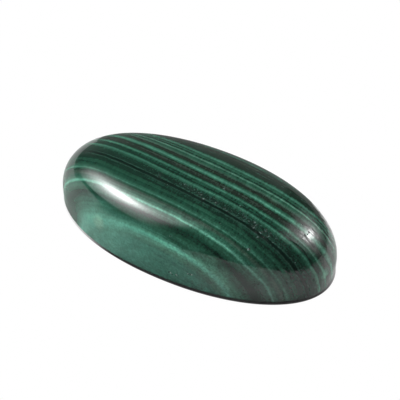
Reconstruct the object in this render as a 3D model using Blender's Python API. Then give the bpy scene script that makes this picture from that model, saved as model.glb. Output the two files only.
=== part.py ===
"""Oval malachite cabochon: one polished stone with a flat base, upright sides and a low domed crown.

The stone lies on its flat base. The origin is the middle of the base, +X runs along the length,
-Y is the long side that faces the viewer, and +Z is up. Units are metres.
"""

import math

import bmesh
import bpy
import numpy as np

# Overall size of the stone
LENGTH = 0.0400
WIDTH = 0.0200
HEIGHT = 0.0097

# The side: a rounded arris on the flat base, then an upright polished wall
BASE_ARRIS = 0.0005
WALL_TOP = 0.0021

# The outline seen from above: power 2 is a plain ellipse, a higher one is fuller at the corners
OUTLINE_POWER = 2.09

# The crown in cross-section: (distance from the middle) ** SIDE + (rise) ** TOP = 1
CROWN_SIDE_POWER = 3.8
CROWN_TOP_POWER = 2.1

# How much of the straight ridge that an evenly ground crown would keep is left along the length
RIDGE_SHARE = 0.32
RIDGE_FADE_POWER = 3

# Fineness of the faceted solid
STEPS_AROUND = 96
ARRIS_RINGS = 4
CROWN_RINGS = 24
CROWN_RING_CROWDING = 1.8

# Finish of the polished stone
STONE_COLOUR = (0.017, 0.090, 0.060, 1.0)
STONE_ROUGHNESS = 0.08
STONE_IOR = 1.75
SHARP_EDGE_DEGREES = 35.0


def clear_objects():
    """Removes every object, so that the file can be run again in an open session."""
    for old in list(bpy.data.objects):
        bpy.data.objects.remove(old, do_unlink=True)


def arris_rings():
    """Rings of the rounded base edge, from the flat base up to the wall, as (half length, half width, z)."""
    rings = []
    for angle in np.linspace(0.0, math.pi / 2, ARRIS_RINGS + 1):
        inset = BASE_ARRIS * (1.0 - math.sin(angle))
        height = BASE_ARRIS * (1.0 - math.cos(angle))
        rings.append((LENGTH / 2 - inset, WIDTH / 2 - inset, height))
    return rings


def crown_half_length(reach):
    """Half length of the crown where it reaches that share of its full width."""
    ridge = (LENGTH - WIDTH) / 2 * (1.0 - reach) * RIDGE_SHARE
    fade = 1.0 - (1.0 - reach) ** RIDGE_FADE_POWER
    return LENGTH / 2 * reach + ridge * fade


def crown_rings():
    """Rings of the wall's top and the crown, without the single point in the middle of the crown."""
    rings = []
    for step in range(CROWN_RINGS):
        spread = (1.0 - step / CROWN_RINGS) ** CROWN_RING_CROWDING
        angle = math.pi / 2 * (1.0 - spread)
        reach = math.cos(angle) ** (2.0 / CROWN_SIDE_POWER)
        rise = math.sin(angle) ** (2.0 / CROWN_TOP_POWER)
        height = WALL_TOP + (HEIGHT - WALL_TOP) * rise
        rings.append((crown_half_length(reach), WIDTH / 2 * reach, height))
    return rings


def outline_points(half_length, half_width, height):
    """Points of one ring, anticlockwise from +X as seen from above."""
    points = []
    for angle in np.linspace(0.0, 2.0 * math.pi, STEPS_AROUND, endpoint=False):
        across = math.copysign(abs(math.cos(angle)) ** (2.0 / OUTLINE_POWER), math.cos(angle))
        along = math.copysign(abs(math.sin(angle)) ** (2.0 / OUTLINE_POWER), math.sin(angle))
        points.append((half_length * across, half_width * along, height))
    return points


def bridge(mesh, lower, upper):
    """Joins two rings of vertices with a band of four-sided faces."""
    count = len(lower)
    for i in range(count):
        j = (i + 1) % count
        mesh.faces.new((lower[i], lower[j], upper[j], upper[i]))


def stone_mesh():
    """The closed skin of the stone: base face, arris, wall, crown and the fan at the crown's middle."""
    mesh = bmesh.new()
    rings = []
    for size in arris_rings() + crown_rings():
        rings.append([mesh.verts.new(point) for point in outline_points(*size)])
    mesh.faces.new(list(reversed(rings[0])))
    for lower, upper in zip(rings, rings[1:]):
        bridge(mesh, lower, upper)
    middle = mesh.verts.new((0.0, 0.0, HEIGHT))
    last = rings[-1]
    for i in range(STEPS_AROUND):
        mesh.faces.new((last[i], last[(i + 1) % STEPS_AROUND], middle))
    data = bpy.data.meshes.new("malachite_cabochon")
    mesh.to_mesh(data)
    mesh.free()
    data.shade_smooth()
    data.set_sharp_from_angle(angle=math.radians(SHARP_EDGE_DEGREES))
    return data


def malachite_material():
    """Dark green malachite with a glassy polish."""
    material = bpy.data.materials.new("malachite")
    material.use_nodes = True
    shader = material.node_tree.nodes["Principled BSDF"]
    shader.inputs["Base Color"].default_value = STONE_COLOUR
    shader.inputs["Roughness"].default_value = STONE_ROUGHNESS
    shader.inputs["Metallic"].default_value = 0.0
    shader.inputs["IOR"].default_value = STONE_IOR
    return material


def build():
    """Puts the finished stone in the scene."""
    clear_objects()
    stone = bpy.data.objects.new("malachite_cabochon", stone_mesh())
    stone.data.materials.append(malachite_material())
    bpy.context.scene.collection.objects.link(stone)


build()
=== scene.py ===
import math
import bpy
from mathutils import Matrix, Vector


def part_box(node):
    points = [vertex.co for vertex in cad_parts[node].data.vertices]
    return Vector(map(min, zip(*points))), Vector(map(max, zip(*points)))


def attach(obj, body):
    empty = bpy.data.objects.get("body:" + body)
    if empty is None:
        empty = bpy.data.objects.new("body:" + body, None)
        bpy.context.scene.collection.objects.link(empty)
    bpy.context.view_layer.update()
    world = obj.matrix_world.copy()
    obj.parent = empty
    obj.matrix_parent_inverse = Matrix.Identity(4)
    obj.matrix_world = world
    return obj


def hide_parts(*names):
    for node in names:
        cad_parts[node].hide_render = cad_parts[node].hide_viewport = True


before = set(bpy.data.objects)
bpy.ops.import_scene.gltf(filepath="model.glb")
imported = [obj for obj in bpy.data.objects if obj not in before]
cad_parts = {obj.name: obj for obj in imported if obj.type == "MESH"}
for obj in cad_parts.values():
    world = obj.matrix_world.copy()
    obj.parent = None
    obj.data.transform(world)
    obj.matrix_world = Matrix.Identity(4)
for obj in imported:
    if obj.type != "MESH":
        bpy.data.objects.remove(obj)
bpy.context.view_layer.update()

from types import SimpleNamespace

import bmesh
import bpy
import numpy as np
from mathutils import Matrix, Vector
from mathutils.kdtree import KDTree

mm = 0.001
stoneLow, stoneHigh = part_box("malachite_cabochon")


# Camera

cameraPlace = {
    "azimuth": 27.6,      # degrees round from the long front side towards the right end
    "elevation": 45.4,
    "roll": 0.54,
    "distance": 0.150,
    "lens": 99.45,        # a 100 mm macro lens on a 36 mm sensor
    "aimRight": 0.00055,  # the lens looks a little right of and above the middle of the base
    "aimUp": 0.00397,
    "sensor": 36,
    "seesFrom": 0.005,    # m
    "seesTo": 20,
}


def cameraAxes():
    turn = math.radians(cameraPlace["azimuth"])
    rise = math.radians(cameraPlace["elevation"])
    back = Vector((math.sin(turn) * math.cos(rise), -math.cos(turn) * math.cos(rise), math.sin(rise)))
    right = (-back).cross(Vector((0, 0, 1))).normalized()
    return right, right.cross(-back), back


def makeCamera():
    right, up, back = cameraAxes()
    place = back * cameraPlace["distance"] + right * cameraPlace["aimRight"] + up * cameraPlace["aimUp"]
    roll = math.radians(cameraPlace["roll"])
    across = right * math.cos(roll) + up * math.sin(roll)
    upright = up * math.cos(roll) - right * math.sin(roll)
    lens = bpy.data.cameras.new("macroLens")
    lens.lens = cameraPlace["lens"]
    lens.sensor_width = cameraPlace["sensor"]
    lens.clip_start = cameraPlace["seesFrom"]
    lens.clip_end = cameraPlace["seesTo"]
    camera = bpy.data.objects.new("macroLens", lens)
    turned = Matrix((across, upright, back)).transposed().to_4x4()
    camera.matrix_world = Matrix.Translation(place) @ turned
    bpy.context.scene.collection.objects.link(camera)
    bpy.context.scene.camera = camera


makeCamera()
print("camera ready")


# The polished stone: the same form as the solid, with a finer skin

stone = {
    "halfLength": (stoneHigh.x - stoneLow.x) / 2,
    "halfWidth": (stoneHigh.y - stoneLow.y) / 2,
    "height": stoneHigh.z,
    "arris": 0.5 * mm,          # rounded edge round the flat base
    "wallTop": 2.1 * mm,        # the upright side ends here and the crown starts
    "outlinePower": 2.09,       # 2 is a plain ellipse, more is fuller
    "crownSidePower": 3.8,
    "crownTopPower": 2.1,
    "ridgeShare": 0.32,         # how much of a straight ridge the crown keeps along its length
    "ridgeFadePower": 3,
    "around": 360,
    "baseRings": (0.12, 0.98, 10),   # the innermost and the outermost, as shares of the base, and their count
    "arrisRings": 9,
    "wallRings": 9,
    "crownRings": 100,
    "crowding": 1.8,            # draws the crown's rings together towards its middle
    "steepReach": 0.93,         # outside this share of its width the crown is steep
}


def crownHalfLength(reach):
    ridge = (stone["halfLength"] - stone["halfWidth"]) * (1 - reach) * stone["ridgeShare"]
    return stone["halfLength"] * reach + ridge * (1 - (1 - reach) ** stone["ridgeFadePower"])


def crownHeight(reach):
    rise = (1 - np.clip(reach, 0, 1) ** stone["crownSidePower"]) ** (1 / stone["crownTopPower"])
    return stone["wallTop"] + (stone["height"] - stone["wallTop"]) * rise


def stoneRings():
    rings = []
    for share in np.linspace(*stone["baseRings"]):
        rings.append((share * (stone["halfLength"] - stone["arris"]),
                      share * (stone["halfWidth"] - stone["arris"]), 0.0))
    for angle in np.linspace(0, math.pi / 2, stone["arrisRings"]):
        inset = stone["arris"] * (1 - math.sin(angle))
        rings.append((stone["halfLength"] - inset, stone["halfWidth"] - inset,
                      stone["arris"] * (1 - math.cos(angle))))
    for height in np.linspace(stone["arris"], stone["wallTop"], stone["wallRings"])[1:-1]:
        rings.append((stone["halfLength"], stone["halfWidth"], height))
    for step in range(stone["crownRings"]):
        angle = math.pi / 2 * (1 - (1 - step / stone["crownRings"]) ** stone["crowding"])
        reach = math.cos(angle) ** (2 / stone["crownSidePower"])
        rings.append((crownHalfLength(reach), stone["halfWidth"] * reach, float(crownHeight(reach))))
    return rings


def stoneSkin():
    turns = np.linspace(0, 2 * math.pi, stone["around"], endpoint=False)
    power = 2 / stone["outlinePower"]
    along = np.sign(np.cos(turns)) * np.abs(np.cos(turns)) ** power
    across = np.sign(np.sin(turns)) * np.abs(np.sin(turns)) ** power
    rings = stoneRings()
    points = [(0.0, 0.0, 0.0)]
    for halfLength, halfWidth, height in rings:
        points += [(halfLength * a, halfWidth * b, height) for a, b in zip(along, across)]
    points.append((0.0, 0.0, stone["height"]))
    count = stone["around"]
    faces = []
    for i in range(count):
        j = (i + 1) % count
        faces.append((0, 1 + j, 1 + i))
        for ring in range(len(rings) - 1):
            low, high = 1 + ring * count, 1 + (ring + 1) * count
            faces.append((low + i, low + j, high + j, high + i))
        last = 1 + (len(rings) - 1) * count
        faces.append((last + i, last + j, len(points) - 1))
    mesh = bpy.data.meshes.new("polishedStone")
    mesh.from_pydata(points, [], faces)
    return mesh


# The malachite itself

tones = {                                 # linear colours of the growth layers, darkest first
    "black": (0.001, 0.012, 0.008),
    "night": (0.009, 0.035, 0.022),
    "deep": (0.011, 0.046, 0.029),
    "bottle": (0.012, 0.060, 0.037),
    "pine": (0.018, 0.076, 0.047),
    "fern": (0.024, 0.094, 0.059),
    "leaf": (0.033, 0.128, 0.083),
    "grass": (0.044, 0.165, 0.107),
    "jade": (0.062, 0.205, 0.138),
    "lawn": (0.048, 0.215, 0.150),
    "mint": (0.090, 0.300, 0.205),
    "pale": (0.150, 0.460, 0.330),
    "spring": (0.140, 0.500, 0.355),
    "umber": (0.019, 0.034, 0.023),       # the brownish and greyish ones
    "bark": (0.027, 0.043, 0.033),
    "ash": (0.028, 0.066, 0.050),
    "moss": (0.042, 0.082, 0.059),
    "sage": (0.050, 0.112, 0.080),
    "silver": (0.120, 0.265, 0.190),
    "dusk": (0.006, 0.023, 0.012),        # and the olive ones at the back
    "moor": (0.029, 0.051, 0.035),
}

layers = {                 # growth layers are nearly upright sheets, counted in mm from the front to the back
    "slant": 0.102,        # they turn from the long axis by this much, mm per mm
    "swing": 0.465,        # slow bend towards the right end, mm
    "swingPlace": 12.0,
    "swingLength": 6.64,
    "lean": 0.095,         # lean out of the upright, mm per mm
    "footLean": 0.10,      # and this much more low on the side, towards the right
    "footTop": 5.5,
    "footAlong": (-1.0, 8.0),   # from none to full over this stretch
    "backFan": 0.0055,     # they spread apart along the stone, behind and in front
    "backFanFrom": 1.0,
    "frontFan": 0.0095,
    "frontFanFrom": -4.0,
    "dip": 0.13,           # the lines on the crown sag by this much near the right end, mm
    "dipPlace": 11.6,
    "dipLength": 3.2,
    "dipLayers": [(-2.8, -2.1), (2.6, 1.2)],   # it sets in over each of these, from none to full
    "upturn": 0.27,        # the front lines turn up at both ends, mm
    "upturnAlong": [(-7.5, -14.0), (11.0, 14.5)],
    "upturnLayers": (-2.0, -7.0),
    "ripple": 0.06,        # small waviness, mm
    "rippleScale": 0.55,
    "wander": 0.05,
    "wanderScale": 1.5,
    "tremble": 0.05,       # ragged edge of each line, mm
    "trembleScale": 3.8,
}

bandsFront = [(-12.6, "leaf"), (-11.6, "lawn"), (-11.0, "lawn"), (-10.6, "lawn"), (-10.35, "jade"),
              (-10.12, "mint"), (-9.98, "spring"), (-9.82, "spring"), (-9.67, "mint"), (-9.5, "grass"),
              (-9.25, "leaf"), (-8.9, "fern"), (-8.7, "pine"), (-8.4, "deep"), (-8.25, "night"),
              (-8.1, "bottle"), (-7.9, "fern"), (-7.65, "leaf"), (-7.45, "leaf"), (-7.35, "grass"),
              (-7.27, "mint"), (-7.2, "pale"), (-7.12, "pale"), (-7.03, "mint"), (-6.92, "grass"),
              (-6.65, "leaf"), (-6.4, "sage")]
bandsFlank = [(-6.4, "sage"), (-6.2, "moss"), (-6.0, "bottle"), (-5.9, "pine"), (-5.8, "leaf"),
              (-5.72, "jade"), (-5.64, "grass"), (-5.5, "leaf"), (-5.35, "fern"), (-5.15, "pine"),
              (-5.0, "bottle"), (-4.85, "bottle"), (-4.72, "fern"), (-4.62, "fern"), (-4.45, "pine"),
              (-4.3, "deep"), (-4.1, "night"), (-3.85, "deep"), (-3.7, "deep"), (-3.55, "ash"),
              (-3.44, "night"), (-3.3, "black"), (-3.2, "black"), (-3.1, "deep"), (-3.0, "ash"),
              (-2.85, "deep"), (-2.6, "night")]
bandsCrest = [(-2.6, "night"), (-2.45, "night"), (-2.25, "deep"), (-2.05, "bottle"), (-1.88, "fern"),
              (-1.78, "leaf"), (-1.67, "grass"), (-1.57, "jade"), (-1.48, "leaf"), (-1.36, "bottle"),
              (-1.2, "night"), (-0.95, "bottle"), (-0.75, "bottle"), (-0.62, "fern"), (-0.5, "jade"),
              (-0.4, "grass"), (-0.28, "fern"), (-0.15, "deep"), (0.0, "umber"), (0.2, "bark"),
              (0.4, "bark"), (0.55, "umber"), (0.7, "bottle"), (0.85, "leaf"), (0.97, "jade"),
              (1.1, "mint"), (1.2, "jade"), (1.36, "leaf"), (1.5, "pine"), (1.66, "umber"),
              (1.85, "umber"), (2.0, "umber")]
bandsBack = [(2.0, "umber"), (2.1, "ash"), (2.2, "sage"), (2.3, "sage"), (2.45, "fern"), (2.7, "pine"),
             (2.83, "leaf"), (2.91, "silver"), (2.98, "silver"), (3.05, "leaf"), (3.14, "bottle"),
             (3.3, "deep"), (3.48, "fern"), (3.65, "pine"), (3.8, "pine"), (3.92, "grass"),
             (4.05, "jade"), (4.15, "grass"), (4.28, "fern"), (4.45, "deep"), (4.65, "dusk"),
             (4.82, "moor"), (4.95, "dusk"), (5.12, "ash"), (5.3, "dusk"), (5.7, "moor"), (6.0, "dusk")]
bandsRear = [(6.0, "dusk"), (6.2, "deep"), (6.35, "leaf"), (6.45, "jade"), (6.55, "fern"), (6.8, "night"),
             (7.1, "bottle"), (7.25, "grass"), (7.35, "jade"), (7.45, "fern"), (7.7, "pine"),
             (7.95, "deep"), (8.1, "leaf"), (8.2, "fern"), (8.4, "night"), (8.6, "pine"), (8.75, "grass"),
             (8.9, "mint"), (9.0, "leaf"), (9.2, "fern"), (9.45, "lawn"), (9.6, "leaf"), (9.85, "pine"),
             (10.1, "grass"), (10.3, "lawn"), (10.6, "fern"), (11.2, "bottle")]


# Open pits and small chips: x, y, z and radius in mm, and their mark: above 0 pale dust with a painted glint
# on one side and painted shade on the other, below 0 painted shade

pits = [
    (-2.74, -2.79, 9.66, 0.08, 0.5), (-0.72, -1.73, 9.70, 0.10, 0.4), (-0.52, -1.80, 9.70, 0.07, -0.7),
    (-0.95, 0.14, 9.70, 0.06, 0.5), (2.62, -2.87, 9.66, 0.11, 0.7), (2.80, -2.74, 9.66, 0.08, -0.8),
    (2.48, -2.98, 9.66, 0.08, -0.8), (4.11, -0.06, 9.70, 0.11, 0.7), (4.33, -0.20, 9.70, 0.07, 0.5),
    (4.02, 0.18, 9.70, 0.07, 0.4), (7.26, -1.72, 9.64, 0.08, 0.7), (7.45, -1.90, 9.63, 0.07, -0.7),
    (9.98, -3.15, 9.35, 0.12, 0.55), (10.30, -3.93, 9.15, 0.14, 0.6), (11.31, -4.04, 8.95, 0.15, 0.6),
    (12.29, -3.99, 8.75, 0.14, 0.6), (11.24, -4.76, 8.70, 0.13, 0.55), (11.80, -4.40, 8.80, 0.12, -0.9),
    (10.75, -4.30, 9.00, 0.12, -0.9), (16.40, -4.47, 6.35, 0.09, 0.9), (15.17, -0.09, 8.61, 0.10, 0.8),
    (10.67, -6.41, 7.82, 0.15, 1.0), (10.90, -6.28, 7.82, 0.11, -1.0), (16.32, -0.43, 8.09, 0.16, -1.0),
    (16.06, -1.22, 8.15, 0.15, -1.0), (16.25, -0.80, 8.12, 0.10, -0.8), (15.90, -1.65, 8.10, 0.09, -0.6),
    (1.53, -9.98, 2.06, 0.20, 1.0), (1.90, -9.96, 1.86, 0.08, -0.8), (2.52, -9.94, 2.11, 0.15, 1.0),
    (4.50, -9.75, 3.02, 0.18, 1.0), (4.10, -9.75, 2.95, 0.12, 0.9), (0.86, -8.56, 7.27, 0.08, 0.5),
    (1.05, -8.54, 7.27, 0.07, 0.4), (5.37, -7.11, 8.36, 0.08, -0.9), (9.60, -0.10, 9.60, 0.07, -0.7),
    (11.40, -0.30, 9.30, 0.08, -0.7), (12.90, -0.50, 9.10, 0.07, -0.6), (13.60, 0.60, 8.95, 0.07, -0.6),
    (-6.10, -2.20, 9.60, 0.06, -0.6), (6.30, -5.30, 9.10, 0.07, 0.4), (13.10, -6.20, 7.00, 0.07, -0.6),
]

scatter = {                # small pits that opened in the softer layers beside the crack
    "count": 70,
    "seed": 11,
    "depths": (-3.05, -1.95),
    "along": (-8.0, 14.0),
    "radius": (0.035, 0.080),
    "crowd": (2.2, 1.5),   # shape of their beta distribution, with more of them towards the right
    # pale dust with painted glint above 0, painted shade below 0
    "dustAndShade": (0.55, 0.4, 0.3, -0.6),
}

crack = {
    "depth": -3.25,        # the layer that it follows
    "ends": (-12.5, 15.5),
    "halfWidth": 0.075,
    "deep": 0.012,
    "fade": 2.0,           # it fades out over this length at each end
    "lowest": 5.0,         # it shows above this height only
    "strength": (0.75, 0.50, 0.30),   # mean, and what two slow waves and a quick one change of it
    "waves": ((1.9, 0.6), (0.7, 2.0), (5.3, 0.0)),   # their radians per mm, and where they start
    "faintest": 0.15,
    "shadeStrength": 1.6,           # how dark its painted shade is,
    "shadeFrom": 0.05,      # where it is at least this share of its full depth
    "step": 0.05,          # mm from point to point of the line that its facets follow
}


def depthAt(x, y, z):
    # the form of the layers on the crown, in mm: as in the stone's material, but with no foot, dip or upturn
    turn = (x - layers["swingPlace"]) / layers["swingLength"]
    depth = y + layers["slant"] * x + layers["swing"] * np.tanh(turn)
    depth = depth - layers["lean"] * (stone["height"] / mm - z)
    fan = layers["backFan"] * np.maximum(depth - layers["backFanFrom"], 0)
    fan = fan + layers["frontFan"] * np.maximum(layers["frontFanFrom"] - depth, 0)
    return depth - fan * x


def ontoStone(points):
    # moves points, in m, onto the polished form: by their height on the steep side, else straight up or down
    x, y, z = points.T.copy()
    power = stone["outlinePower"]

    def outline(reach):
        return (np.abs(x / crownHalfLength(reach)) ** power
                + np.abs(y / (stone["halfWidth"] * reach)) ** power) ** (1 / power)

    rise = np.clip((z - stone["wallTop"]) / (stone["height"] - stone["wallTop"]), 0, 1)
    reach = (1 - rise ** stone["crownTopPower"]) ** (1 / stone["crownSidePower"])
    steep = reach > stone["steepReach"]
    low, high = np.full(len(x), 1e-4), np.ones(len(x))
    for _ in range(40):                                    # halvings, down to rounding
        middle = (low + high) / 2
        outside = outline(middle) > 1
        low, high = np.where(outside, middle, low), np.where(outside, high, middle)
    scale = 1 / outline(np.where(steep, reach, 1.0))
    z = np.where(steep, z, crownHeight(high))
    return np.stack([np.where(steep, x * scale, x), np.where(steep, y * scale, y), z], 1)


def onLayer(along, depth):
    # the place on the crown where a layer comes out, in m, found in a few rounds
    across = depth - layers["slant"] * along
    above = np.full(len(along), stone["height"])
    for _ in range(12):
        place = ontoStone(np.stack([along * mm, across * mm, above], 1)) / mm
        across = across + depth - depthAt(*place.T)
    return ontoStone(np.stack([along * mm, across * mm, above], 1))


def allPits():
    chosen = np.random.default_rng(scatter["seed"])
    low, high = scatter["along"]
    along = low + (high - low) * chosen.beta(*scatter["crowd"], scatter["count"])
    places = onLayer(along, chosen.uniform(*scatter["depths"], scatter["count"]))
    sizes = chosen.uniform(*scatter["radius"], scatter["count"]) * mm
    dustAndShade = chosen.choice(scatter["dustAndShade"], scatter["count"])
    named = np.array(pits)
    places = np.concatenate([ontoStone(named[:, :3] * mm), places])
    return places, np.concatenate([named[:, 3] * mm, sizes]), np.concatenate([named[:, 4], dustAndShade])


pitForm = {
    "deep": 0.5,               # times its radius
    "side": 0.6,               # how much of the radius its side takes up
    "lobes": ((3, 0.22, 1.7), (5, 0.12, 2.9)),   # of its rim: how many, how big, their turn from pit to pit
    "dustAndShadeReach": 1.3,          # times its radius
    "dustAndShadeEdge": 0.5,
    "facing": 2.1,             # turn of a pale pit's side with dust and painted glint, from pit to pit
    "darkFrom": -0.2,          # its other side gets painted shade, from this cosine on
    "dark": 0.8,
    "paleBase": 0.5,
    "finer": ((0.30, 0.36), (0.14, 0.19), (0.05, 0.11)),   # mm round pits and the crack, for each halving
}


def nearestOf(places):
    tree = KDTree(len(places))
    for i, place in enumerate(places):
        tree.insert(place, i)
    tree.balance()
    return tree


def refineSkin(skin, places, sizes, line):
    # finer facets round each pit and along the crack, laid onto the polished form
    nearPit, nearLine = nearestOf(places), nearestOf(line)
    kept = len(skin.verts)
    for pitMargin, lineReach in pitForm["finer"]:
        cut = []
        for edge in skin.edges:
            middle = (edge.verts[0].co + edge.verts[1].co) / 2
            if middle.z < stone["arris"]:
                continue
            _, i, far = nearPit.find(middle)
            if far < sizes[i] + pitMargin * mm or nearLine.find(middle)[2] < lineReach * mm:
                cut.append(edge)
        bmesh.ops.subdivide_edges(skin, edges=cut, cuts=1, use_grid_fill=True)
    skin.verts.ensure_lookup_table()
    placed = ontoStone(np.array([vert.co for vert in skin.verts[kept:]]))
    for vert, place in zip(skin.verts[kept:], placed):
        vert.co = place
    skin.normal_update()


def pitShapes(points, places, sizes, dustAndShade):
    # how deep each point sinks, in m, and its mark: pale dust with painted glint above 0, painted shade below
    # 0
    sunk, dustAndShadeLevel = np.zeros(len(points)), np.zeros(len(points))
    for i, (place, size) in enumerate(zip(places, sizes)):
        away = points - place
        bearing = np.arctan2(away[:, 1] + away[:, 2], away[:, 0])
        ragged = 1.0
        for lobes, swell, turn in pitForm["lobes"]:
            ragged = ragged + swell * np.sin(lobes * bearing + turn * i)
        share = np.linalg.norm(away, axis=1) / (size * ragged)
        hole = np.clip((1 - share) / pitForm["side"], 0, 1)
        hole = hole * hole * (3 - 2 * hole)
        sunk = np.maximum(sunk, pitForm["deep"] * size * hole)
        spread = np.clip((pitForm["dustAndShadeReach"] - share) / pitForm["dustAndShadeEdge"], 0, 1)
        shade = spread * dustAndShade[i]
        if dustAndShade[i] > 0:                                    # pale dust and painted glint on one side, painted shade on the other
            face = np.cos(bearing - pitForm["facing"] * i)
            pale = shade * np.clip(face + pitForm["paleBase"], 0, 1)
            shade = np.where(face > pitForm["darkFrom"], pale, spread * pitForm["dark"] * face)
        dustAndShadeLevel = np.where(np.abs(shade) > np.abs(dustAndShadeLevel), shade, dustAndShadeLevel)
    return sunk, dustAndShadeLevel


def crackShape(points):
    # 1 in the middle of the groove and 0 beside it; it is fainter here and there and fades out at its ends
    x, y, z = points.T / mm
    left, right = crack["ends"]
    ends = np.clip((x - left) / crack["fade"], 0, 1) * np.clip((right - x) / crack["fade"], 0, 1)
    mean, slow, quick = crack["strength"]
    first, second, third = (np.sin(rate * x + start) for rate, start in crack["waves"])
    broken = np.clip(mean + slow * first * second + quick * third, crack["faintest"], 1)
    side = (depthAt(x, y, z) - crack["depth"]) / crack["halfWidth"]
    return np.where(z > crack["lowest"], np.clip(1 - side * side, 0, 1) * ends * broken, 0)


def openPits(mesh):
    places, sizes, dustAndShade = allPits()
    skin = bmesh.new()
    skin.from_mesh(mesh)
    refineSkin(skin, places, sizes, onLayer(np.arange(*crack["ends"], crack["step"]), crack["depth"]))
    points = np.array([vert.co for vert in skin.verts])
    normals = np.array([vert.normal for vert in skin.verts])
    sunk, dustAndShadeLevel = pitShapes(points, places, sizes, dustAndShade)
    groove = crackShape(points)
    sunk = np.maximum(sunk, crack["deep"] * mm * groove)
    # the crack's groove gets painted shade
    dustAndShadeLevel = np.where(groove > crack["shadeFrom"], -np.minimum(crack["shadeStrength"] * groove, 1), dustAndShadeLevel)
    for vert, place in zip(skin.verts, points - normals * sunk[:, None]):
        vert.co = place
    skin.to_mesh(mesh)
    skin.free()
    # pale dust with painted glint above 0, painted shade below 0, for the material
    mesh.attributes.new("dustAndShade", "FLOAT", "POINT").data.foreach_set("value", dustAndShadeLevel)
    print("pits and crack cut,", len(mesh.polygons), "faces")


def plug(tree, value, socket):
    if isinstance(value, bpy.types.NodeSocket):
        tree.links.new(value, socket)
    else:
        socket.default_value = value


def calc(tree, operation, *values):
    node = tree.nodes.new("ShaderNodeMath")
    node.operation = operation
    for value, socket in zip(values, node.inputs):
        plug(tree, value, socket)
    return node.outputs[0]


def mapped(tree, value, fromLow, fromHigh, toLow, toHigh, smooth=False):
    node = tree.nodes.new("ShaderNodeMapRange")
    node.interpolation_type = "SMOOTHSTEP" if smooth else "LINEAR"
    for given, socket in zip((value, fromLow, fromHigh, toLow, toHigh), node.inputs):
        plug(tree, given, socket)
    return node.outputs[0]


def rising(tree, value, none, full):
    # eases from 0 at the first value to 1 at the second
    return mapped(tree, value, none, full, 0.0, 1.0, True)


def times(tree, value, *others):
    for other in others:
        value = calc(tree, "MULTIPLY", value, other)
    return value


def grain(tree, place, scale, detail=2.0, roughness=0.5):
    node = tree.nodes.new("ShaderNodeTexNoise")
    plug(tree, place, node.inputs["Vector"])
    node.inputs["Scale"].default_value = scale
    node.inputs["Detail"].default_value = detail
    node.inputs["Roughness"].default_value = roughness
    return node.outputs[0]


def stretched(tree, place, x, y, z):
    node = tree.nodes.new("ShaderNodeVectorMath")
    node.operation = "MULTIPLY"
    plug(tree, place, node.inputs[0])
    node.inputs[1].default_value = (x, y, z)
    return node.outputs[0]


def joined(tree, x, y, z):
    node = tree.nodes.new("ShaderNodeCombineXYZ")
    for value, socket in zip((x, y, z), node.inputs):
        plug(tree, value, socket)
    return node.outputs[0]


def blended(tree, share, first, second, kind="MIX"):
    node = tree.nodes.new("ShaderNodeMix")
    node.data_type = "RGBA"
    node.blend_type = kind
    plug(tree, share, node.inputs[0])
    for value, socket in ((first, node.inputs[6]), (second, node.inputs[7])):
        plug(tree, value if isinstance(value, bpy.types.NodeSocket) else (*value, 1), socket)
    return node.outputs[2]


def bandRamp(tree, depth, bands):
    low, high = bands[0][0], bands[-1][0]
    node = tree.nodes.new("ShaderNodeValToRGB")
    ramp = node.color_ramp
    ramp.interpolation = "EASE"
    while len(ramp.elements) < len(bands):
        ramp.elements.new(0.5)
    for element, (place, tone) in zip(ramp.elements, bands):
        element.position = (place - low) / (high - low)
        element.color = (*tones[tone], 1)
    plug(tree, mapped(tree, depth, low, high, 0, 1), node.inputs[0])
    return node.outputs[0]


def layerDepth(tree, x, y, z):
    # the smooth form of the layers
    depth = calc(tree, "MULTIPLY_ADD", x, layers["slant"], y)
    turn = calc(tree, "DIVIDE", calc(tree, "SUBTRACT", x, layers["swingPlace"]), layers["swingLength"])
    depth = calc(tree, "MULTIPLY_ADD", calc(tree, "TANH", turn), layers["swing"], depth)
    below = calc(tree, "SUBTRACT", stone["height"] / mm, z)
    depth = calc(tree, "MULTIPLY_ADD", below, -layers["lean"], depth)
    low = calc(tree, "MAXIMUM", calc(tree, "SUBTRACT", layers["footTop"], z), 0.0)
    foot = times(tree, low, rising(tree, x, *layers["footAlong"]), layers["footLean"])
    depth = calc(tree, "SUBTRACT", depth, foot)
    behind = calc(tree, "MAXIMUM", calc(tree, "SUBTRACT", depth, layers["backFanFrom"]), 0.0)
    before = calc(tree, "MAXIMUM", calc(tree, "SUBTRACT", layers["frontFanFrom"], depth), 0.0)
    fan = calc(tree, "MULTIPLY_ADD", behind, layers["backFan"], times(tree, before, layers["frontFan"]))
    depth = calc(tree, "SUBTRACT", depth, times(tree, fan, x))
    # sag near the right end
    apart = calc(tree, "DIVIDE", calc(tree, "SUBTRACT", x, layers["dipPlace"]), layers["dipLength"])
    sag = times(tree, calc(tree, "EXPONENT", times(tree, apart, apart, -1.0)), layers["dip"])
    for span in layers["dipLayers"]:
        sag = times(tree, sag, rising(tree, depth, *span))
    # upturned ends of the front lines
    left, right = layers["upturnAlong"]
    ends = calc(tree, "ADD", rising(tree, x, *left), rising(tree, x, *right))
    turned = times(tree, ends, mapped(tree, depth, *layers["upturnLayers"], 0.0, 1.0), layers["upturn"])
    return calc(tree, "SUBTRACT", calc(tree, "ADD", depth, sag), turned)


def bandColour(tree, depth):
    colour = bandRamp(tree, depth, bandsFront)
    for bands in (bandsFlank, bandsCrest, bandsBack, bandsRear):
        beyond = calc(tree, "GREATER_THAN", depth, bands[0][0])
        colour = blended(tree, beyond, colour, bandRamp(tree, depth, bands))
    return colour


# Below, "along" and "layers" are where an effect sets in and where it is full, in mm along the stone and in
# growth layers

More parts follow.
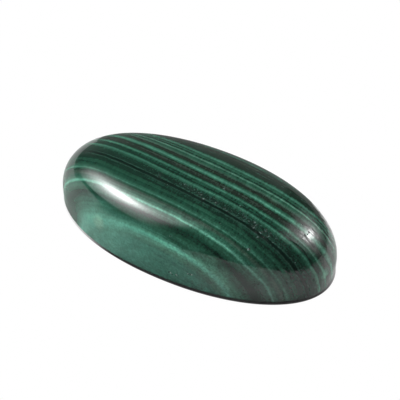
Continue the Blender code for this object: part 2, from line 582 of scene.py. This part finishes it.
milk = {                       # the milky front left corner
    "colour": (0.135, 0.385, 0.300),
    "share": 0.58,
    "along": (1.5, -7.5),
    "endAlong": (-12.0, -16.0),
    "endShare": 0.7,           # this much of it is left round the end
    "layers": (-9.0, -10.0),
    "cloudScale": 0.9,
    "cloudNoise": (0.3, 0.7),  # this span of the noise gives this span of strength
    "cloudy": (0.65, 1.15),
}

eyeCore = 0.2                  # an eye is at its palest within this share of its radius
eyes = [                       # pale eyes low on the side: middle and radius in mm, share, colour
    ((-10.0, -8.6, 4.0), 5.6, 0.45, (0.140, 0.470, 0.340)),
    ((-9.9, -8.6, 4.4), 1.4, 0.65, (0.300, 0.540, 0.390)),
    ((19.6, -1.8, 3.4), 1.1, 0.50, (0.120, 0.360, 0.240)),
]

texture = {                    # scales are per mm, along the layers and across them
    "streaks": (1.5, 0.5),     # strength of the fine streaks along the layers, outside the milk and in it
    "streakScale": (0.12, 3.6),
    "fibres": 1.5,
    "fibreScale": (3.4, 1.3),
    "blotches": 0.9,
    "blotchScale": (0.7, 1.6),
    "coarse": (0.6, 1.35),     # fibres and blotches get stronger towards the right
    "coarseAlong": (-10.0, 9.0),
    "sand": 0.9,
    "sandScale": 5.5,
    "sandAlong": (-3.0, 9.0),
    "fine": (3.0, 0.6),        # detail and roughness of the noise in streaks and fibres,
    "sandy": (2.0, 0.6),       # and in sand and sugar
    "darkest": 0.3,            # the texture leaves at least this share of a tone
}

arrisShade = {                      # painted contact shade low on the arris above the base, which is left unpolished; stronger towards the right
    "share": 0.92,
    "height": (0.75, 0.36),    # mm
    "baseHeight": (0.01, 0.08),   # there is none on the flat base
    "along": (-12.0, 0.0),
}

shades = [                     # stretches where the layers get darker or lighter: change, along, layers
    (-0.22, (2.0, 7.5), [(-9.3, -9.6)]),       # the side's pale band
    (0.40, (3.0, 9.0), [(-8.4, -8.8), (-9.8, -9.55)]),
    (-0.38, (8.0, 12.5), [(-6.7, -7.0)]),
]

sugar = {                      # sugary specks in the softer layers beside the crack
    "layers": [(-3.2, -3.0), (-1.8, -2.05)],
    "along": (-10.0, 2.0),
    "least": 0.25,             # share of them that is left outside that stretch and between the patches
    "patchScale": 0.8,
    "patches": (0.38, 0.58),
    "scale": 4.6,
    "pale": (0.57, 0.70),      # which part of the noise makes pale specks, and which makes hollows with painted shade
    "paleShare": 0.75,
    "paleColour": (0.075, 0.150, 0.130),
    "hollow": (0.45, 0.34),
    "hollowShare": 0.85,
    # painted shade in the hollows
    "hollowShadeColour": (0.003, 0.012, 0.009),
}

finish = {
    # pale dust with painted glints in the pits, and below it the painted shade of the pits and the crack
    "dustAndGlintColour": (0.230, 0.360, 0.320),
    "paintedShadeColour": (0.002, 0.006, 0.005),
    "polish": 0.06,            # roughness of the polish, and of full dust
    "dull": 0.35,
    "specksDull": 0.5,         # pale specks and the ground base are this far from polish to dull
    "groundDull": 0.9,
    "groundHeight": (0.12, 0.01),
    "ior": 1.75,
    "waves": (0.0004, 0.0018),   # relief between hard and soft layers, in mm, before and after a stretch
    "wavesAlong": (-10.0, 8.0),
    "wavyFibres": 0.6,
    "endWaves": 0.0080,        # more of it at the right end,
    "endAlong": (11.0, 15.0),
    "bumps": 0.0450,           # and rounder bumps there
    "bumpScale": (0.9, 2.4),
    "bumpAlong": (11.5, 15.5),
    "hollowDeep": 0.008,
}


def distanceTo(tree, place, centre):
    node = tree.nodes.new("ShaderNodeVectorMath")
    node.operation = "DISTANCE"
    plug(tree, place, node.inputs[0])
    node.inputs[1].default_value = centre
    return node.outputs["Value"]


def placeInStone(tree):
    # the place in mm, and its depth in the growth layers, smooth and with their small waves
    where = tree.nodes.new("ShaderNodeTexCoord")
    at = SimpleNamespace(place=stretched(tree, where.outputs["Object"], 1 / mm, 1 / mm, 1 / mm))
    parts = tree.nodes.new("ShaderNodeSeparateXYZ")
    plug(tree, at.place, parts.inputs[0])
    at.x, at.y, at.z = parts.outputs
    at.smoothDepth = layerDepth(tree, at.x, at.y, at.z)
    at.depth = at.smoothDepth
    for name in ("ripple", "wander", "tremble"):
        wave = calc(tree, "SUBTRACT", grain(tree, at.place, layers[name + "Scale"]), 0.5)
        at.depth = calc(tree, "MULTIPLY_ADD", wave, 2 * layers[name], at.depth)
    return at


def inLayers(tree, at, scale):
    # the place measured along and across the layers, so that a noise follows them
    along, across = scale
    return joined(tree, times(tree, at.x, along), times(tree, at.depth, across), times(tree, at.z, along))


def milkShare(tree, at):
    end = mapped(tree, at.x, *milk["endAlong"], 1.0, milk["endShare"], True)
    return times(tree, rising(tree, at.x, *milk["along"]), end, rising(tree, at.smoothDepth, *milk["layers"]))


def addMilk(tree, at, milky, colour):
    # the milk and the eyes, both a little cloudy
    cloud = grain(tree, at.place, milk["cloudScale"], 3.0)
    cloud = mapped(tree, cloud, *milk["cloudNoise"], *milk["cloudy"])
    colour = blended(tree, times(tree, milky, cloud, milk["share"]), colour, milk["colour"])
    for centre, size, share, tone in eyes:
        ring = mapped(tree, distanceTo(tree, at.place, centre), size, size * eyeCore, 0.0, share, True)
        colour = blended(tree, times(tree, ring, cloud), colour, tone)
    return colour


def textureLight(tree, at, milky, striae, fibres):
    # how much lighter or darker the fine texture makes the tones
    blotches = grain(tree, inLayers(tree, at, texture["blotchScale"]), 1.0)
    sand = grain(tree, at.place, texture["sandScale"], *texture["sandy"])
    coarse = mapped(tree, at.x, *texture["coarseAlong"], *texture["coarse"], True)
    streaky = mapped(tree, milky, 0.0, 1.0, *texture["streaks"])
    light = calc(tree, "MULTIPLY_ADD", calc(tree, "SUBTRACT", striae, 0.5), streaky, 1.0)
    for speckle, strength in ((fibres, times(tree, coarse, texture["fibres"])),
                              (blotches, times(tree, coarse, texture["blotches"])),
                              (sand, mapped(tree, at.x, *texture["sandAlong"], 0.0, texture["sand"], True))):
        swing = times(tree, calc(tree, "SUBTRACT", speckle, 0.5), strength)
        light = times(tree, light, calc(tree, "ADD", swing, 1.0))
    return calc(tree, "MAXIMUM", light, texture["darkest"])


def addShades(tree, at, light):
    # painted contact shade low on the arris, none on the flat base, stronger towards the right
    paintedShade = times(tree, rising(tree, at.z, *arrisShade["height"]), rising(tree, at.z, *arrisShade["baseHeight"]),
                  rising(tree, at.x, *arrisShade["along"]))
    light = times(tree, light, calc(tree, "MULTIPLY_ADD", paintedShade, -arrisShade["share"], 1.0))
    for change, along, spans in shades:
        share = rising(tree, at.x, *along)
        for span in spans:
            share = times(tree, share, rising(tree, at.smoothDepth, *span))
        light = times(tree, light, calc(tree, "MULTIPLY_ADD", share, change, 1.0))
    return light


def sugarShares(tree, at):
    # where the pale specks are, and the hollows between them, which get painted shade
    zone = mapped(tree, at.x, *sugar["along"], sugar["least"], 1.0, True)
    for span in sugar["layers"]:
        zone = times(tree, zone, rising(tree, at.depth, *span))
    patches = grain(tree, at.place, sugar["patchScale"])
    zone = times(tree, zone, mapped(tree, patches, *sugar["patches"], sugar["least"], 1.0, True))
    specks = grain(tree, at.place, sugar["scale"], *texture["sandy"])
    pale = mapped(tree, specks, *sugar["pale"], 0.0, sugar["paleShare"], True)
    hollow = mapped(tree, specks, *sugar["hollow"], 0.0, sugar["hollowShare"], True)
    return times(tree, zone, pale), times(tree, zone, hollow)


def reliefHeight(tree, at, striae, fibres, hollow):
    # the polish follows the hardness of the layers, in mm
    uneven = calc(tree, "ADD", mapped(tree, at.x, *finish["wavesAlong"], *finish["waves"], True),
                  mapped(tree, at.x, *finish["endAlong"], 0.0, finish["endWaves"], True))
    height = times(tree, calc(tree, "MULTIPLY_ADD", fibres, finish["wavyFibres"], striae), uneven)
    bumps = grain(tree, inLayers(tree, at, finish["bumpScale"]), 1.0, 1.0)
    bumps = times(tree, bumps, mapped(tree, at.x, *finish["bumpAlong"], 0.0, finish["bumps"], True))
    return calc(tree, "MULTIPLY_ADD", hollow, -finish["hollowDeep"], calc(tree, "ADD", height, bumps))


def malachite():
    material = bpy.data.materials.new("malachite")
    material.use_nodes = True
    tree = material.node_tree
    shader = tree.nodes["Principled BSDF"]
    at = placeInStone(tree)
    striae = grain(tree, inLayers(tree, at, texture["streakScale"]), 1.0, *texture["fine"])
    fibres = grain(tree, inLayers(tree, at, texture["fibreScale"]), 1.0, *texture["fine"])
    milky = milkShare(tree, at)
    colour = addMilk(tree, at, milky, bandColour(tree, at.depth))
    light = addShades(tree, at, textureLight(tree, at, milky, striae, fibres))
    colour = blended(tree, 1.0, colour, joined(tree, light, light, light), "MULTIPLY")
    pale, hollow = sugarShares(tree, at)
    colour = blended(tree, pale, colour, sugar["paleColour"])
    # painted shade in the hollows
    colour = blended(tree, hollow, colour, sugar["hollowShadeColour"])

    # pale dust with painted glints, and painted shade in dark pits, on the far sides of pale pits and in the
    # crack, as the mesh carries them
    dustAndShade = tree.nodes.new("ShaderNodeAttribute")
    dustAndShade.attribute_name = "dustAndShade"
    dustAndShadeLevel = dustAndShade.outputs["Fac"]
    colour = blended(tree, calc(tree, "MAXIMUM", dustAndShadeLevel, 0.0), colour, finish["dustAndGlintColour"])
    paintedShade = calc(tree, "MAXIMUM", times(tree, dustAndShadeLevel, -1.0), 0.0)
    plug(tree, blended(tree, paintedShade, colour, finish["paintedShadeColour"]), shader.inputs["Base Color"])

    bump = tree.nodes.new("ShaderNodeBump")
    bump.inputs["Strength"].default_value = 1.0
    bump.inputs["Distance"].default_value = mm
    plug(tree, reliefHeight(tree, at, striae, fibres, hollow), bump.inputs["Height"])
    plug(tree, bump.outputs[0], shader.inputs["Normal"])
    dull = calc(tree, "MAXIMUM", dustAndShadeLevel, times(tree, pale, finish["specksDull"]))
    ground = mapped(tree, at.z, *finish["groundHeight"], 0.0, finish["groundDull"])
    dull = calc(tree, "MAXIMUM", dull, ground)
    plug(tree, mapped(tree, dull, 0.0, 1.0, finish["polish"], finish["dull"]), shader.inputs["Roughness"])
    shader.inputs["IOR"].default_value = finish["ior"]
    return material


def makeStone():
    mesh = stoneSkin()
    openPits(mesh)
    mesh.shade_smooth()
    piece = bpy.data.objects.new("polished_malachite", mesh)
    bpy.context.scene.collection.objects.link(piece)
    mesh.materials.append(malachite())
    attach(piece, "root")
    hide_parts("malachite_cabochon")


makeStone()
print("stone ready")


# The set: white paper under and in front of the stone, a dim table behind, a glowing wall each side

wallReach = 0.40               # m from the stone to each side wall; the walls below are measured in reaches

leftWall = {
    "side": -1,
    "front": (-0.85, 0.53),    # lower corner towards the camera
    "back": (1.30, 0.04),      # and away from it
    "top": 4.6,
    "fadeFront": (-0.85, -0.50),
    "fadeBack": (1.03, 0.46),
    "fadeLean": 0.35,          # its far edge leans outwards
    "lamp": (0.045, 1.09),
    "tilt": -0.30,             # the lamp hangs lower away from the camera
    "spot": (0.24, 0.29, 14.5),   # half width, half height and strength of the lamp itself,
    "bloom": (0.50, 0.72, 3.3),   # of its glow on the cloth
    "haze": (0.95, 1.95, 1.4),    # and of the whole lit cloth
    "foot": 0.40,                 # the cloth darkens downwards over this height
    "sole": 0.50,                 # to this share
}

rightWall = {
    "side": 1,
    "front": (-0.85, 0.03),
    "back": (2.40, 0.0),
    "top": 4.2,
    "fadeFront": (-0.85, -0.10),
    "fadeBack": (2.35, 0.95),
    "fadeLean": 0.0,
    "lamp": (0.265, 0.87),
    "tilt": 0.0,
    "spot": (0.17, 0.17, 12.0),
    "bloom": (0.34, 0.50, 2.7),
    "haze": (0.95, 2.00, 1.35),
    "foot": 0.85,
    "sole": 0.10,
}

paper = {
    "backEdge": [(110, 95), (47, 50), (29, 29), (19, 23), (13, 20), (12, 11), (-16, 11), (-24, 14),
                 (-45, 32), (-75, 60), (-290, 260)],     # mm, beyond it lies the table
    "frontEdge": -300.0,
    "height": -0.02,           # mm, just under the stone, with the table below it
    "tableHeight": -0.4,
    "tableReach": 3000.0,
    "white": 0.62,
    "table": 0.22,
    "shadeSide": (-10, -0.3, 0.5),   # degrees round, and the cosines between which it sets in
    "nearStone": 0.42,         # there it lies in the stone's own shade close by,
    "nearReach": 1.25,         # out to this many times the stone's outline,
    "underStone": 0.10,        # and is darkest where the stone touches it
    "underReach": 1.02,
    "contactSide": (20, -0.1, 0.5),
    "contact": (0.9, 0.03),    # painted contact shadow: what the lens sees right at the stone, at the back and in front
    "contactReach": (1.001, 1.006),
    "shadow": (-18, 0.6, 1.0, 0.45),   # a soft shadow across the front, with its depth last
    "glows": [((12, -6), 145, 0.70, 0.95, 0.42), ((0, 0), -98, 0.3, 0.8, 0.16)],   # corner mm, strength last
    "curlReach": 290.0,        # mm out to where the paper is curled up, then degrees round and degrees up
    "curl": [(-108, 0.5), (-93, 5), (-78, 8.8), (-66, 11.5), (-53, 10), (-42, 4), (-32, 0.5), (-14, 0.5),
             (-6, 8), (3, 8.3), (10, 7.5), (20, 5.5), (33, 3.5), (45, 2.2), (58, 0.6), (72, 0.6),
             (80, 3), (92, 4.5), (108, 4.5), (125, 4.5), (140, 4), (150, 3), (160, 0.5)],
    "curlDim": 0.16,
    "curlGlow": [(-65, 0.955, 0.996, 0.62), (20, 0.80, 0.95, 0.30), (115, 0.75, 0.92, 0.42)],   # lit parts
}

room = {
    "dark": 0.045,
    "behind": 0.26,            # glow behind the stone, up to this height
    "behindTop": 0.75,
    "behindSide": (0.2, 0.8),
    "toCamera": 1.25,          # the lens sees clean white
}


def stageMesh(name, points, faces, material):
    mesh = bpy.data.meshes.new(name)
    mesh.from_pydata([tuple(point) for point in points], [], faces)
    mesh.materials.append(material)
    panel = bpy.data.objects.new(name, mesh)
    bpy.context.scene.collection.objects.link(panel)
    return panel


def stageMaterial(name):
    material = bpy.data.materials.new(name)
    material.use_nodes = True
    material.node_tree.nodes.clear()
    tree = material.node_tree
    return material, tree, tree.nodes.new("ShaderNodeOutputMaterial")


def glowOf(tree, along, height, wall, spot):
    # falls off like a bell round the lamp, by its own width and height
    aside = calc(tree, "SUBTRACT", along, wall["lamp"][0])
    above = calc(tree, "SUBTRACT", height, wall["lamp"][1])
    above = calc(tree, "SUBTRACT", above, times(tree, aside, wall["tilt"]))
    sideways = calc(tree, "DIVIDE", aside, spot[0])
    upwards = calc(tree, "DIVIDE", above, spot[1])
    far = calc(tree, "ADD", times(tree, sideways, sideways), times(tree, upwards, upwards))
    return times(tree, calc(tree, "EXPONENT", times(tree, far, -1.0)), spot[2])


def glowWall(name, wall):
    right, _, _ = cameraAxes()
    ahead = Vector((-right.y, right.x, 0))
    material, tree, out = stageMaterial(name)
    where = tree.nodes.new("ShaderNodeTexCoord")
    parts = tree.nodes.new("ShaderNodeSeparateXYZ")
    plug(tree, where.outputs["Object"], parts.inputs[0])
    along, height = parts.outputs[0], parts.outputs[2]
    cloth = calc(tree, "ADD", glowOf(tree, along, height, wall, wall["bloom"]),
                 glowOf(tree, along, height, wall, wall["haze"]))
    front, back, top = wall["front"], wall["back"], wall["top"]
    slope = (back[1] - front[1]) / (back[0] - front[0])
    lift = calc(tree, "SUBTRACT", calc(tree, "SUBTRACT", height, front[1]),
                times(tree, calc(tree, "SUBTRACT", along, front[0]), slope))
    cloth = times(tree, cloth, mapped(tree, lift, 0.0, wall["foot"], wall["sole"], 1.0, True))
    level = calc(tree, "ADD", cloth, glowOf(tree, along, height, wall, wall["spot"]))
    leaning = times(tree, calc(tree, "SUBTRACT", height, wall["lamp"][1]), wall["fadeLean"])
    leaning = calc(tree, "SUBTRACT", along, leaning)
    level = times(tree, level, rising(tree, along, *wall["fadeFront"]),
                  rising(tree, leaning, *wall["fadeBack"]))
    level = calc(tree, "MAXIMUM", level, room["dark"])
    lit = tree.nodes.new("ShaderNodeEmission")
    plug(tree, level, lit.inputs["Strength"])
    plug(tree, lit.outputs[0], out.inputs["Surface"])
    corners = [(front[0], 0, front[1]), (back[0], 0, back[1]), (back[0], 0, top), (front[0], 0, top)]
    panel = stageMesh(name, corners, [(0, 1, 2, 3)], material)
    turned = Matrix((ahead, right * -wall["side"], Vector((0, 0, 1)))).transposed().to_4x4()
    place = right * wall["side"] * wallReach
    panel.matrix_world = Matrix.Translation(place) @ turned @ Matrix.Scale(wallReach, 4)
    panel.visible_camera = False


def towards(tree, place, degrees, corner=(0, 0)):
    # cosine of the angle between the way out from a corner and a direction, both on the table
    moved = tree.nodes.new("ShaderNodeVectorMath")
    moved.operation = "SUBTRACT"
    plug(tree, place, moved.inputs[0])
    moved.inputs[1].default_value = (corner[0] * mm, corner[1] * mm, 0)
    flat = tree.nodes.new("ShaderNodeVectorMath")
    flat.operation = "NORMALIZE"
    plug(tree, stretched(tree, moved.outputs[0], 1, 1, 0), flat.inputs[0])
    way = tree.nodes.new("ShaderNodeVectorMath")
    way.operation = "DOT_PRODUCT"
    plug(tree, flat.outputs[0], way.inputs[0])
    way.inputs[1].default_value = (math.sin(math.radians(degrees)), -math.cos(math.radians(degrees)), 0)
    return way.outputs["Value"]


def outlineShare(tree, place):
    # 1 on the stone's outline, more outside it
    parts = tree.nodes.new("ShaderNodeSeparateXYZ")
    plug(tree, place, parts.inputs[0])
    total = 0.0
    for value, half in ((parts.outputs[0], stone["halfLength"]), (parts.outputs[1], stone["halfWidth"])):
        share = calc(tree, "ABSOLUTE", calc(tree, "DIVIDE", value, half))
        total = calc(tree, "ADD", calc(tree, "POWER", share, stone["outlinePower"]), total)
    return calc(tree, "POWER", total, 1 / stone["outlinePower"])


def paperLight(tree, matte, white):
    # what the stone shades on the paper, a painted contact shadow, and the light that the lamps pool on it
    where = tree.nodes.new("ShaderNodeTexCoord").outputs["Object"]
    apart = outlineShare(tree, where)
    turn, low, high = paper["shadeSide"]
    near = mapped(tree, towards(tree, where, turn), low, high, paper["white"], paper["nearStone"], True)
    shade = mapped(tree, apart, 1.0, paper["nearReach"], near, paper["white"], True)
    shade = times(tree, shade, mapped(tree, apart, 1.0, paper["underReach"], paper["underStone"], 1.0, True))
    turn, low, high, depth = paper["shadow"]
    shade = times(tree, shade, mapped(tree, towards(tree, where, turn), low, high, 1.0, 1 - depth, True))
    plug(tree, shade, matte.inputs["Color"])
    turn, low, high = paper["contactSide"]
    contact = mapped(tree, towards(tree, where, turn), low, high, *paper["contact"], True)
    plug(tree, mapped(tree, apart, *paper["contactReach"], contact, 1.0, True), white.inputs["Strength"])
    glow = 0.0
    for corner, turn, low, high, strength in paper["glows"]:
        lit = mapped(tree, towards(tree, where, turn, corner), low, high, 0.0, strength, True)
        glow = calc(tree, "ADD", lit, glow)
    pool = tree.nodes.new("ShaderNodeEmission")
    plug(tree, glow, pool.inputs["Strength"])
    both = tree.nodes.new("ShaderNodeAddShader")
    plug(tree, matte.outputs[0], both.inputs[0])
    plug(tree, pool.outputs[0], both.inputs[1])
    return both.outputs[0]


def whiteToCamera(name, albedo, lit):
    # the lens sees clean white, and the stone sees the surface as it is lit
    material, tree, out = stageMaterial(name)
    matte = tree.nodes.new("ShaderNodeBsdfDiffuse")
    matte.inputs["Color"].default_value = (albedo, albedo, albedo, 1)
    white = tree.nodes.new("ShaderNodeEmission")
    surface = paperLight(tree, matte, white) if lit else matte.outputs[0]
    seen = tree.nodes.new("ShaderNodeLightPath")
    chosen = tree.nodes.new("ShaderNodeMixShader")
    plug(tree, seen.outputs["Is Camera Ray"], chosen.inputs[0])
    plug(tree, surface, chosen.inputs[1])
    plug(tree, white.outputs[0], chosen.inputs[2])
    plug(tree, chosen.outputs[0], out.inputs["Surface"])
    return material


def makeTable():
    size, level = paper["tableReach"] * mm, paper["tableHeight"] * mm
    corners = [(-size, -size, level), (size, -size, level), (size, size, level), (-size, size, level)]
    stageMesh("table", corners, [(0, 1, 2, 3)], whiteToCamera("table", paper["table"], False))


def makePaper():
    level, front = paper["height"] * mm, paper["frontEdge"] * mm
    edge = [(x * mm, y * mm, level) for x, y in paper["backEdge"]]
    edge += [(edge[-1][0], front, level), (edge[0][0], front, level)]
    stageMesh("paper", edge, [tuple(range(len(edge)))], whiteToCamera("whitePaper", paper["white"], True))


def makeCurl():
    # the paper's far parts are curled up; only the stone sees them
    points = []
    out = paper["curlReach"] * mm
    foot = paper["height"] * mm / 2
    for turn, rise in paper["curl"]:
        turn = math.radians(turn)
        x, y = out * math.sin(turn), -out * math.cos(turn)
        points += [(x, y, foot), (x, y, out * math.tan(math.radians(rise)))]
    faces = [(2 * i, 2 * i + 2, 2 * i + 3, 2 * i + 1) for i in range(len(paper["curl"]) - 1)]
    material, tree, end = stageMaterial("litCurl")
    where = tree.nodes.new("ShaderNodeTexCoord").outputs["Object"]
    level = paper["curlDim"]
    for turn, low, high, extra in paper["curlGlow"]:
        part = mapped(tree, towards(tree, where, turn), low, high, 0.0, extra, True)
        level = calc(tree, "ADD", part, level)
    lit = tree.nodes.new("ShaderNodeEmission")
    plug(tree, level, lit.inputs["Strength"])
    plug(tree, lit.outputs[0], end.inputs["Surface"])
    stageMesh("paperCurl", points, faces, material).visible_camera = False


def makeWorld():
    scene = bpy.context.scene
    world = bpy.data.worlds.new("darkRoom")
    scene.world = world
    world.use_nodes = True
    tree = world.node_tree
    tree.nodes.clear()
    right, _, _ = cameraAxes()
    where = tree.nodes.new("ShaderNodeTexCoord")
    facing = tree.nodes.new("ShaderNodeVectorMath")
    facing.operation = "DOT_PRODUCT"
    plug(tree, where.outputs["Generated"], facing.inputs[0])
    facing.inputs[1].default_value = (-right.y, right.x, 0)
    parts = tree.nodes.new("ShaderNodeSeparateXYZ")
    plug(tree, where.outputs["Generated"], parts.inputs[0])
    low = mapped(tree, parts.outputs[2], 0.0, room["behindTop"], 1.0, 0.0, True)
    behind = times(tree, low, rising(tree, facing.outputs["Value"], *room["behindSide"]))
    dim = mapped(tree, behind, 0.0, 1.0, room["dark"], room["behind"])
    seen = tree.nodes.new("ShaderNodeLightPath")
    level = mapped(tree, seen.outputs["Is Camera Ray"], 0, 1, dim, room["toCamera"])
    sky = tree.nodes.new("ShaderNodeBackground")
    plug(tree, level, sky.inputs["Strength"])
    out = tree.nodes.new("ShaderNodeOutputWorld")
    plug(tree, sky.outputs[0], out.inputs["Surface"])
    scene.view_settings.view_transform = "Standard"
    scene.view_settings.look = "None"


makeTable()
makePaper()
makeCurl()
glowWall("leftWall", leftWall)
glowWall("rightWall", rightWall)
makeWorld()
print("set ready")
